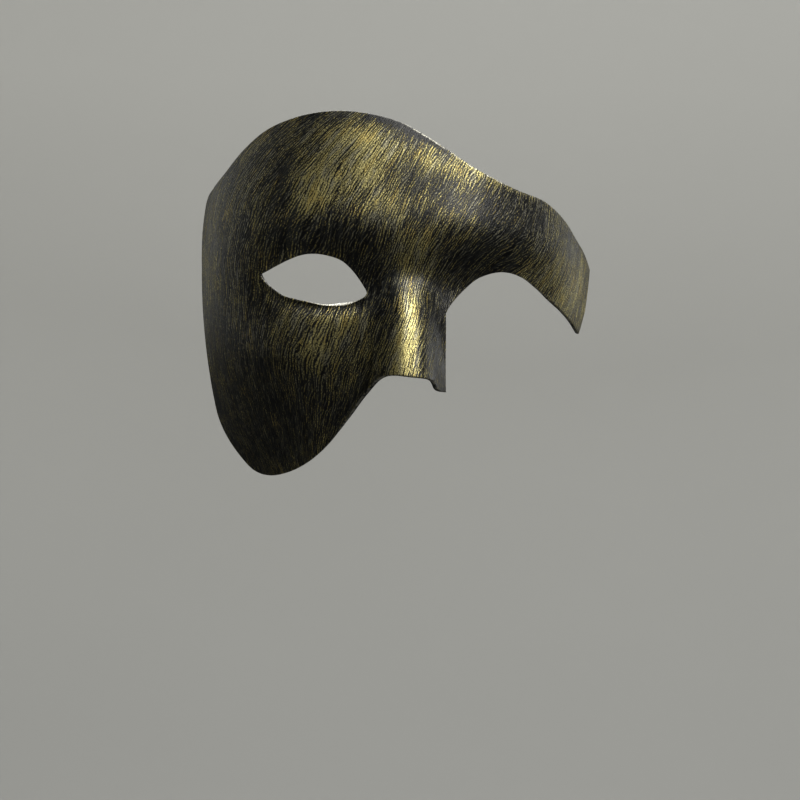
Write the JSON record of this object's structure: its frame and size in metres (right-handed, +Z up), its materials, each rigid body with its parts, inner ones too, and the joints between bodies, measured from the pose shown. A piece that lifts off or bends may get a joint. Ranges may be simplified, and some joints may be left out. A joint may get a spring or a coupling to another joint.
{
  "type": "venetian half mask",
  "caption": "One-eyed masquerade half mask in dry-brushed black and gold: moulded face shell with an eye opening, an open eye arch, inner foam pads and an adjustable elastic head strap.",
  "frame": {"origin": "on the bridge of the nose, at the outer face of the shell between the eyes", "axes": "the mask faces -Y, +X is to the right of someone looking at it, +Z up"},
  "size_m": [0.172, 0.2112, 0.1549],
  "materials": {
    "shell": "black moulded plastic, dry-brushed by hand with antique gold, satin to semi-gloss",
    "foam": "soft black closed-cell foam with a fabric face",
    "boss": "matt black moulded plastic",
    "cap": "plain pressed metal cap",
    "buckle": "matt black moulded plastic",
    "elastic": "black knitted elastic",
    "thread": "black sewing thread"
  },
  "bodies": {
    "mask": {"mask_shell": "shell", "forehead_pad": "foam", "nose_pad_left": "foam", "nose_pad_right": "foam", "cheek_pad": "foam", "strap_boss_left": "boss", "strap_boss_right": "boss", "retaining_cap_left": "cap", "retaining_cap_right": "cap"},
    "strap": {"strap_link_left": "buckle", "strap_link_right": "buckle", "elastic_band": "elastic", "bar_tack_left": "thread", "hem_stitches": "thread"},
    "slider": {"strap_slider": "buckle"}
  },
  "joints": [
    {"name": "strap_swing", "type": "hinge", "parent": "mask", "child": "strap", "pos_m": [0, 0.045, 0.004], "axis": [1, 0, 0], "range_deg": [-60, 50]},
    {"name": "slider_slide", "type": "slide", "parent": "strap", "child": "slider", "axis": [0.1219, 0.9671, 0.2233], "range_m": [-0.009, 0.009]}
  ]
}
